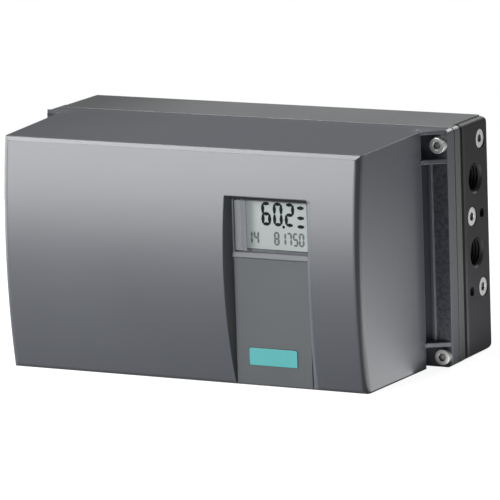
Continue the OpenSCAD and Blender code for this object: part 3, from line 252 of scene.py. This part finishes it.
def coordinates(made):
    tree = made.node_tree
    place = tree.nodes.new("ShaderNodeTexCoord")
    axes = tree.nodes.new("ShaderNodeSeparateXYZ")
    tree.links.new(place.outputs["Object"], axes.inputs[0])
    return axes.outputs


def region(made, **spans):
    at = coordinates(made)
    sides = []
    for axis, (low, high) in spans.items():
        sides += [sums(made, "GREATER_THAN", at[axis], low), sums(made, "LESS_THAN", at[axis], high)]
    return both(made, *sides)


def fade(made, axis, full, none):
    tree = made.node_tree
    slope = tree.nodes.new("ShaderNodeMapRange")
    slope.inputs["From Min"].default_value, slope.inputs["From Max"].default_value = full, none
    slope.inputs["To Min"].default_value, slope.inputs["To Max"].default_value = 1, 0
    tree.links.new(coordinates(made)[axis], slope.inputs["Value"])
    return slope.outputs[0]


def dress(made, *names):
    for name in names:
        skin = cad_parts[name].data.materials
        skin.clear()
        skin.append(made)


slate_base = finish("slate_base", (0.135, 0.138, 0.138), 0.42, grain=1800, depth=0.2, ior=1.75)
# Painted shade on the base's side strip before the connection block.
side_strip_shade = region(slate_base, X=(0.0915, 0.0930))
tone(slate_base, side_strip_shade, 0.25)
# Painted shade on the base's top, deepest at the left and fading out by the middle.
shade_deepest_x, shade_gone_x = -0.080, -0.022
base_top = region(slate_base, Z=(0.0482, 0.0495))
tone(slate_base, both(slate_base, base_top, fade(slate_base, "X", shade_deepest_x, shade_gone_x)), 0.25)
dress(slate_base, "base_housing")

# Mounting inserts: four brass bushes pressed into the rear wall for the bracket's screws. They are
# turned from bar and tapped, and the thread shows as a fine ridge wound down the bore.
turned_brass = finish("turned_brass", (0.66, 0.49, 0.22), 0.34, grain=900, metal=1.0, edge=0.0003)
dress(turned_brass, "mounting_inserts")


def piece(name, shape, made, body, smooth=False):
    bmesh.ops.recalc_face_normals(shape, faces=shape.faces)
    mesh = bpy.data.meshes.new(name)
    shape.to_mesh(mesh)
    shape.free()
    for face in mesh.polygons:
        face.use_smooth = smooth
    mesh.materials.append(made)
    thing = bpy.data.objects.new(name, mesh)
    scene.collection.objects.link(thing)
    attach(thing, body)


sunk = 0.00006


def thread(shape, start, along, radius, crest, pitch, turns, steps=28):
    start, along = Vector(start), Vector(along)
    root = radius + math.copysign(sunk, -crest)
    ring = [shape.verts.new(start + Vector((0, 0, reach)) + along * shift * pitch)
            for reach, shift in ((root, 0.02), (radius + crest, 0.42), (radius + crest, 0.58), (root, 0.98))]
    flanks = [shape.edges.new((ring[i], ring[i - 1])) for i in range(4)]
    wound = bmesh.ops.spin(shape, geom=ring + flanks, cent=start, axis=along, dvec=along * pitch / steps,
                           angle=math.tau * turns, steps=steps * turns)
    last = [e for e in wound["geom_last"] if isinstance(e, bmesh.types.BMEdge)]
    bmesh.ops.contextual_create(shape, geom=flanks)
    bmesh.ops.contextual_create(shape, geom=last)


insert_reach, tap_start = 0.025, -0.0085
taps = bmesh.new()
for x in (-insert_reach, insert_reach):
    for z in (-insert_reach, insert_reach):
        thread(taps, (x, tap_start, z), (0, 1, 0), radius=0.0025, crest=-0.0003, pitch=0.001, turns=7)
piece("insert_threads", taps, turned_brass, "housing", smooth=True)

# Cover gasket: a black elastomer cord laid in the groove of the base's rim, which the cover's rim
# presses flat when its four screws are tight.
black_rubber = finish("black_rubber", (0.016, 0.016, 0.017), 0.68, grain=1400, depth=0.3)
dress(black_rubber, "cover_gasket")

# Connection block: matte black plastic, let into the base's right side. Painted shade darkens its upper part
# and a painted highlight lightens its foot; a painted shadow lies in the seam at its front, and a painted
# highlight runs along its front edge. Its two tapped air ports take pipe fittings, and the thread's ridges
# show inside each mouth.
block_black = finish("block_black", (0.017, 0.0155, 0.0185), 0.48, grain=2000, depth=0.25, edge=0.0004,
                     ior=1.37)
# Painted shade on the block's upper part and a painted highlight at its foot.
tone(block_black, fade(block_black, "Z", 0.0, -0.020), 0.3)
tone(block_black, fade(block_black, "Z", -0.042, -0.026), 2.4)
# A painted highlight along the block's front edge, and a painted shadow with less gloss in the seam before
# it.
seam_end = -0.0237
block_edge_highlight = region(block_black, X=(0.0915, 0.0925), Y=(seam_end, -0.0218))
tone(block_black, block_edge_highlight, 3.0)
block_seam_shadow = region(block_black, X=(0.0900, 0.0925), Y=(-0.0265, seam_end))
tone(block_black, block_seam_shadow, 0.2)
gloss = sums(block_black, "SUBTRACT", 0.5, both(block_black, block_seam_shadow, 0.35))
block_skin = block_black.node_tree.nodes["Principled BSDF"]
block_black.node_tree.links.new(gloss, block_skin.inputs["Specular IOR Level"])
dress(block_black, "connection_block")
bore_black = finish("bore_black", (0.010, 0.010, 0.012), 0.6, ior=1.35)
port_x, port_y, port_zs = 0.0810, -0.0122, (0.02475, -0.00605)
ports = bmesh.new()
for z in port_zs:
    thread(ports, (port_x, port_y, z), (1, 0, 0), radius=0.00572, crest=-0.0004, pitch=0.001337, turns=7,
           steps=40)
piece("port_threads", ports, bore_black, "housing", smooth=True)

# Block screws: three cheese-head screws with hexagon sockets, zinc plated, sunk in the block's
# counterbores. They pull the block against the base.
zinc_plating = finish("zinc_plating", (0.80, 0.80, 0.78), 0.3, grain=900, metal=0.8, edge=0.0006,
                      recess=0.003, edge_highlight=1.15)
dress(zinc_plating, "block_screws")

# Valve block and pilot valves: the block is milled aluminium with fine cutter lines, screwed to the
# base behind the connection block, and two small black valves are mounted on it.
milled_alloy = finish("milled_alloy", (0.60, 0.61, 0.62), 0.38, grain=700, metal=1.0, edge=0.0003,
                      stretch=(1, 1, 8))
dress(milled_alloy, "valve_block")
module_black = finish("module_black", (0.028, 0.028, 0.030), 0.5)
dress(module_black, "pilot_valves")

# Restrictors, purge switch and silencer: two turned brass screws throttle the air, a white plastic
# switch sends it through the housing, and a sintered brass plug lets the waste air out quietly.
dress(turned_brass, "restrictor_fill", "restrictor_vent")
acetal_white = finish("acetal_white", (0.72, 0.72, 0.68), 0.4, edge_highlight=1.1)
dress(acetal_white, "purge_switch")
dress(finish("sintered_brass", (0.52, 0.37, 0.15), 0.55, grain=1600, depth=0.9, metal=1.0, cloud=1200,
             tint=0.25), "silencer")

# Vent plug: a black plastic plug with slots, pressed into the bottom wall from inside.
# It lets the housing breathe without taking in splashes.
black_fitting = finish("black_fitting", (0.018, 0.018, 0.019), 0.42)
dress(black_fitting, "vent_plug")

# Cable entries: a black plastic gland with its nut and rubber ring in the upper hole on the left,
# and a screwed plug in the lower one. Each sits on a flat rubber seal.
dress(black_fitting, "gland_body", "gland_nut", "blanking_plug")
dress(black_rubber, "gland_seal", "entry_seals")

# Feedback shaft: turned stainless steel, flattened at its tip, in a flanged brass bush. A spring
# ring holds it inside, where a white plastic gear is pressed on it.
stainless = finish("stainless", (0.64, 0.64, 0.62), 0.26, grain=900, metal=1.0, edge=0.0003,
                   stretch=(1, 6, 1), edge_highlight=1.4, recess=0.0016)
dress(stainless, "feedback_shaft", "shaft_clip")
dress(turned_brass, "shaft_bush")
dress(acetal_white, "shaft_gear")

# Potentiometer: a grey plastic can on the rear wall with a steel spindle. Its brass pinion runs in
# the shaft's gear, and the yellow clutch wheel lets the spindle be set by hand.
terminal_grey = finish("terminal_grey", (0.22, 0.23, 0.24), 0.45)
dress(terminal_grey, "potentiometer")
dress(stainless, "pot_spindle")
dress(turned_brass, "pot_pinion")
lever_yellow = finish("lever_yellow", (0.78, 0.47, 0.02), 0.4)
dress(lever_yellow, "clutch_wheel")
print_black = finish("print_black", (0.012, 0.012, 0.013), 0.55, edge=0.00005)
spindle_x = -0.032


def bar(shape, wide, high, face, place, turned=0.0):
    made = bmesh.ops.create_cube(shape, size=1)["verts"]
    bmesh.ops.scale(shape, verts=made, vec=(wide, 2 * sunk, high))
    edges = list({e for v in made for e in v.link_edges})
    rounded = bmesh.ops.bevel(shape, geom=edges, offset=sunk / 2, offset_type="OFFSET", segments=1,
                              profile=0.5, affect="EDGES", material=-1)
    made = list({v for f in rounded["faces"] for v in f.verts} | {v for v in made if v.is_valid})
    pose = Matrix.Translation((place[0], face, place[1])) @ Matrix.Rotation(turned, 4, "Y")
    bmesh.ops.transform(shape, verts=made, matrix=pose)


wheel_face, mark_reach, groove_step = -0.030, 0.00775, math.radians(18)
mark_angle = 2.5 * groove_step
wheel_mark = bmesh.new()
bar(wheel_mark, 0.0018, 0.0006, wheel_face,
    (spindle_x + mark_reach * math.cos(mark_angle), mark_reach * math.sin(mark_angle)), turned=-mark_angle)
piece("wheel_mark", wheel_mark, print_black, "spindle")

# Gear plate: milled aluminium on four turned posts, screwed down over the gears. Printed strokes
# round the clutch wheel let its setting be read.
dress(milled_alloy, "gear_plate")
dress(stainless, "plate_posts", "plate_screws")
plate_face, stroke_reach, long_stroke, short_stroke = -0.0227, 0.0108, 0.0016, 0.0010
strokes = bmesh.new()
for degrees in range(90, 271, 15):
    angle = math.radians(degrees)
    bar(strokes, long_stroke if degrees % 45 == 0 else short_stroke, 0.0003, plate_face,
        (spindle_x + stroke_reach * math.cos(angle), stroke_reach * math.sin(angle)), turned=-angle)
piece("plate_strokes", strokes, print_black, "housing")

# Ratio selector: a yellow plastic lever that turns in the gear plate, with a small upright grip.
# A dark stroke on its hub shows which way it points.
dress(lever_yellow, "ratio_selector")
selector_at, selector_face, selector_turned = (-0.041, -0.020), -0.0255, math.radians(70)
selector_stroke = bmesh.new()
bar(selector_stroke, 0.0034, 0.0007, selector_face, selector_at, turned=selector_turned)
piece("selector_stroke", selector_stroke, print_black, "selector")

# Standoffs and carrier: steel pillars on the rear wall hold a black plastic tray, which carries the
# electronics in front of the gears and valves.
dress(stainless, "standoffs")
dress(module_black, "carrier")

# Boards: the main board with its black parts and the display board in front of it, both green glass
# fibre, joined by a stacking strip.
dress(finish("board_green", (0.015, 0.11, 0.045), 0.35, cloud=900, tint=0.5), "main_board", "display_board")
dress(module_black, "board_parts", "board_link")

# Terminals: two grey rows of seven clamps with slotted steel screws, soldered to the main board's
# left arm. Plain numbers are printed beside the screws.
dress(terminal_grey, "terminal_blocks")
dress(stainless, "terminal_screws")
terminal_pitch, terminal_face, first_terminal, number_high = 0.006, -0.0652, -0.058, 0.0015


def numeral(shape, value, height, face, x, z):
    letter = bpy.data.curves.new("numeral", "FONT")
    letter.body, letter.size, letter.extrude = value, height * 1.4, sunk
    letter.align_x, letter.align_y = "CENTER", "CENTER"
    holder = bpy.data.objects.new("numeral", letter)
    scene.collection.objects.link(holder)
    flat = bpy.data.meshes.new_from_object(holder.evaluated_get(bpy.context.evaluated_depsgraph_get()))
    bpy.data.objects.remove(holder)
    flat.transform(Matrix.Translation((x, face, z)) @ Matrix.Rotation(math.pi / 2, 4, "X"))
    shape.from_mesh(flat)
    bpy.data.meshes.remove(flat)


numbers = bmesh.new()
for first, z in ((1, 0.02775), (8, 0.02425)):
    for i in range(7):
        numeral(numbers, str(first + i), number_high, terminal_face, first_terminal + i * terminal_pitch, z)
bmesh.ops.remove_doubles(numbers, verts=numbers.verts, dist=1e-7)
piece("terminal_numbers", numbers, print_black, "housing")

# Module cover: a black moulded hood over the boards, held by four long screws sunk in its corners.
# The display and the keys look out of its front.
dress(module_black, "module_cover")
dress(stainless, "module_screws")

# Display: a grey-green liquid-crystal glass on its white light box, in a black bezel. The lit segments
# show a plain reading with three level bars beside it, and a paler row of small figures below.
dress(module_black, "lcd_bezel")
dress(acetal_white, "lcd_backlight")
dress(finish("display_grey", (0.375, 0.419, 0.412), 0.3, grain=5000, depth=0.01, tint=0.06), "lcd_glass")
glass_front = -0.0905
figures = {"0": "abcdef", "1": "bc", "2": "abged", "4": "fgbc", "5": "afgcd", "6": "afgedc", "7": "abc",
           "8": "abcdefg"}


def segment(shape, x, z, length, stroke, tall):
    tip_reach = stroke / math.sqrt(3)
    flat = bmesh.ops.create_circle(shape, cap_ends=True, segments=6, radius=tip_reach)["verts"]
    bmesh.ops.scale(shape, verts=flat, vec=(0.3, 1, 1))
    for end in (-1, 1):
        tip = [v for v in flat if v.co.x * end > 0]
        bmesh.ops.translate(shape, verts=tip, vec=(end * (length / 2 - 0.3 * tip_reach), 0, 0))
    raised = bmesh.ops.extrude_face_region(shape, geom=[flat[0].link_faces[0]])["geom"]
    raised = [e for e in raised if isinstance(e, bmesh.types.BMVert)]
    bmesh.ops.translate(shape, verts=raised, vec=(0, 0, sunk))
    pose = Matrix.Translation((x, glass_front, z)) @ Matrix.Rotation(math.pi / 2, 4, "X")
    if tall:
        pose = pose @ Matrix.Rotation(math.pi / 2, 4, "Z")
    bmesh.ops.transform(shape, verts=flat + raised, matrix=pose)


def figure(shape, value, left, foot, wide, high, stroke):
    half, mid = (high - stroke) / 2, foot + high / 2
    right = left + wide - stroke / 2
    left = left + stroke / 2
    centre = (left + right) / 2
    run, climb = wide - stroke * 1.1, half - stroke * 0.15
    places = {"a": (centre, mid + half, run, False), "g": (centre, mid, run, False),
              "d": (centre, mid - half, run, False), "f": (left, mid + half / 2, climb, True),
              "b": (right, mid + half / 2, climb, True), "e": (left, mid - half / 2, climb, True),
              "c": (right, mid - half / 2, climb, True)}
    for lit in figures[value]:
        x, z, length, tall = places[lit]
        segment(shape, x, z, length, stroke, tall)


reading = bmesh.new()
for value, left in (("6", 0.0342), ("0", 0.0394), ("2", 0.0446)):
    figure(reading, value, left, foot=0.0162, wide=0.0043, high=0.0096, stroke=0.00135)
segment(reading, 0.0440, 0.0160, length=0.0013, stroke=0.0011, tall=True)
for z in (0.0241, 0.0200, 0.0165):
    segment(reading, 0.0517, z, length=0.0030, stroke=0.0014, tall=False)
piece("lcd_reading", reading, finish("segment_dark", (0.003, 0.006, 0.006), 0.6, edge=0.00005, ior=1.15),
      "housing")
small_row = bmesh.new()
for value, left in (("1", 0.0275), ("4", 0.0304), ("8", 0.0395), ("1", 0.0425), ("7", 0.0451),
                    ("5", 0.0479), ("0", 0.0506)):
    figure(small_row, value, left, foot=0.0083, wide=0.0025, high=0.0056, stroke=0.00085)
piece("lcd_small_row", small_row, finish("segment_pale", (0.085, 0.10, 0.098), 0.5, edge=0.00005),
      "housing")

# Keys: three white plastic caps that push the switches on the display board. Each carries a printed
# sign: a ring for the mode, a dash for less and a cross for more.
dress(acetal_white, "key_mode", "key_down", "key_up")
dress(terminal_grey, "key_switches")
mode_x, down_x, up_x, key_face, key_z = 0.029, 0.041, 0.053, -0.0895, -0.00765
sign_wide, sign_stroke = 0.0030, 0.0007
ring = bmesh.new()
bmesh.ops.create_circle(ring, cap_ends=True, segments=32, radius=sign_wide / 2)
bmesh.ops.inset_region(ring, faces=list(ring.faces), thickness=sign_stroke, use_boundary=True,
                       use_even_offset=True)
bmesh.ops.delete(ring, geom=[f for f in ring.faces if len(f.verts) > 4], context="FACES_ONLY")
bmesh.ops.solidify(ring, geom=list(ring.faces), thickness=2 * sunk)
bmesh.ops.translate(ring, verts=ring.verts, vec=(0, 0, sunk))
upright_ring = Matrix.Translation((mode_x, key_face, key_z)) @ Matrix.Rotation(math.pi / 2, 4, "X")
bmesh.ops.transform(ring, verts=ring.verts, matrix=upright_ring)
piece("mode_sign", ring, print_black, "mode_key")
dash = bmesh.new()
bar(dash, sign_wide, sign_stroke, key_face, (down_x, key_z))
piece("down_sign", dash, print_black, "down_key")
cross = bmesh.new()
bar(cross, sign_wide, sign_stroke, key_face, (up_x, key_z))
bar(cross, sign_stroke, sign_wide, key_face - sunk / 4, (up_x, key_z))
piece("up_sign", cross, print_black, "up_key")

# Cover: the front shell in slate grey, smoother than the base, with drafted sides and a bulged front.
# The flange strips beside the troughs keep a coarse, streaky moulding texture. A painted highlight lies on
# the right-hand rim of the recess, and the trough floors are painted lighter. Painted shade darkens the
# recess's left wall and foot, the front right edge, the lintel over the window, the left flange corner, the
# flange's side edges and the top towards the left.
slate_cover = finish("slate_cover", (0.0565, 0.0605, 0.071), 0.32, grain=3000, depth=0.05, edge=0.0006,
                     tint=0.04, ior=1.6, edge_highlight=1.5)
dress(slate_cover, "cover")
recess_span = (0.0226, 0.0574)
strip_y, strip_x, trough_y = (-0.0392, -0.0384), (0.0856, 0.0921), (-0.0450, -0.0384)
strip = either(slate_cover, region(slate_cover, X=strip_x, Y=strip_y),
               region(slate_cover, X=(-strip_x[1], -strip_x[0]), Y=strip_y))
sill = region(slate_cover, X=recess_span, Y=(-0.0962, -0.0930), Z=(0.0033, 0.0058))
# Painted shadow on the lintel over the window, and a painted highlight on the recess's right rim.
lintel_shadow = region(slate_cover, X=recess_span, Y=(-0.0942, -0.0935), Z=(0.0268, 0.0282))
rim_highlight = region(slate_cover, X=(0.0572, 0.0588), Y=(-0.0990, -0.0938), Z=(-0.0480, 0.0050))
# The trough floors are painted lighter; painted shade on the flange's side edges and its left top corner.
trough_lightened = either(slate_cover, region(slate_cover, X=(0.078, strip_x[0]), Y=trough_y),
                region(slate_cover, X=(-strip_x[0], -0.078), Y=trough_y))
flange_edge_shade = either(slate_cover, region(slate_cover, X=(0.0918, 0.0930)),
                     region(slate_cover, X=(-0.0930, -0.0918)))
left_corner_shade = region(slate_cover, X=(-0.0930, -0.0835), Y=(-0.0455, -0.0380), Z=(0.0430, 0.04855))
# Painted shade on the cover's top, deepest at the left.
cover_top = region(slate_cover, Y=(-0.0920, -0.0300), Z=(0.0465, 0.0495))
top_shade = both(slate_cover, cover_top, fade(slate_cover, "X", shade_deepest_x, shade_gone_x))

shell = slate_cover.node_tree
outward = shell.nodes.new("ShaderNodeNewGeometry")
outward_axes = shell.nodes.new("ShaderNodeSeparateXYZ")
shell.links.new(outward.outputs["True Normal"], outward_axes.inputs[0])
to_right = outward_axes.outputs["X"]
# Painted shade on the recess's left wall, deeper at its foot, and on the front right vertical edge.
recess_wall_shade = both(slate_cover, sums(slate_cover, "GREATER_THAN", to_right, 0.6),
                   region(slate_cover, X=(0.0200, 0.0230), Y=(-0.0995, -0.0935)))
recess_foot_shade = both(slate_cover, recess_wall_shade, fade(slate_cover, "Z", -0.014, 0.008))
front_edge_shade = both(slate_cover, sums(slate_cover, "GREATER_THAN", to_right, 0.33),
                  sums(slate_cover, "LESS_THAN", to_right, 0.8),
                  region(slate_cover, X=(0.0700, 0.0860), Y=(-0.0995, -0.0860)))
streak = shell.nodes.new("ShaderNodeTexNoise")
streak.inputs["Scale"].default_value, streak.inputs["Detail"].default_value = 620, 3
streak_place = shell.nodes.new("ShaderNodeTexCoord")
shell.links.new(streak_place.outputs["Object"], streak.inputs["Vector"])
patches = shell.nodes.new("ShaderNodeMapRange")
patches.inputs["From Min"].default_value, patches.inputs["From Max"].default_value = 0.42, 0.62
shell.links.new(streak.outputs["Fac"], patches.inputs["Value"])
streaks = both(slate_cover, strip, patches.outputs[0])

for mask, strength in ((streaks, 0.45), (sill, 0.95), (lintel_shadow, 0.15), (rim_highlight, 1.5), (flange_edge_shade, 0.85),
                       (trough_lightened, 1.4), (left_corner_shade, 0.5), (top_shade, 0.55), (recess_wall_shade, 0.7),
                       (front_edge_shade, 0.45), (recess_foot_shade, 0.5)):
    tone(slate_cover, mask, strength)
rough_socket = shell.nodes["Principled BSDF"].inputs["Roughness"]
matt = either(slate_cover, rough_socket.links[0].from_socket, both(slate_cover, sill, 0.48),
              both(slate_cover, either(slate_cover, lintel_shadow, left_corner_shade), 0.9))
shell.links.new(matt, rough_socket)
relief_socket = shell.nodes["relief"].inputs["Height"]
coarse = both(slate_cover, strip, streak.outputs["Fac"], 30)
shell.links.new(sums(slate_cover, "ADD", relief_socket.links[0].from_socket, coarse), relief_socket)

# Cover screws: four captive socket-head screws on thin washers, zinc plated; painted shade darkens all four,
# the lower two more. The thread is rolled on the lower part of each shank and bites in the base's flange.
screw_y = (-0.0600, -0.0300)
# Painted shade on the cover screws and washers, heavier on the lower two.
tone(zinc_plating, region(zinc_plating, Y=screw_y, Z=(-0.0490, -0.0390)), 0.55)
tone(zinc_plating, region(zinc_plating, Y=screw_y, Z=(0.0380, 0.0480)), 0.8)
dress(zinc_plating, "cover_screws", "screw_washers")
screw_x, screw_zs, rolled_start = 0.08895, (0.04275, -0.04415), -0.0335
shanks = bmesh.new()
for x in (-screw_x, screw_x):
    for z in screw_zs:
        thread(shanks, (x, rolled_start, z), (0, 1, 0), radius=0.00195, crest=0.0001, pitch=0.0007, turns=8,
               steps=20)
piece("screw_threads", shanks, zinc_plating, "cover", smooth=True)

# Front plate and inlay: the grey plate is snapped into the cover's recess below the window, and a
# bare teal inlay with a satin face is bonded to it.
dress(finish("plate_grey", (0.051, 0.058, 0.063), 0.42, edge=0.0003), "front_plate")
dress(finish("teal_inlay", (0.055, 0.31, 0.315), 0.35, depth=0.03, edge=0.0002), "name_plate")

# Window: clear polycarbonate glued on the ledge above the front plate. A pale translucent strip on its left
# margin is painted light, standing in for light on the ledge behind, and hides the bezel's edge.
clear_window = finish("clear_window", (0.08, 0.09, 0.09), 0.06, grain=300, depth=0.01, edge=0.0003,
                      spread=0.03, tint=0.2)
clear_window.node_tree.nodes["Principled BSDF"].inputs["Alpha"].default_value = 0.05
dress(clear_window, "window")
# Painted light: a pale translucent strip at the window's left margin.
margin_light_skin = finish("margin_light_skin", (0.32, 0.34, 0.36), 0.5, grain=3000, edge=0.00005)
margin_light_skin.node_tree.nodes["Principled BSDF"].inputs["Alpha"].default_value = 0.3
margin_light_wide, margin_light_high, window_face, margin_light_middle = 0.00515, 0.0204, -0.09385, (0.02643, 0.01635)
margin_light = bmesh.new()
bar(margin_light, margin_light_wide, margin_light_high, window_face, margin_light_middle)
piece("window_margin_light", margin_light, margin_light_skin, "cover")
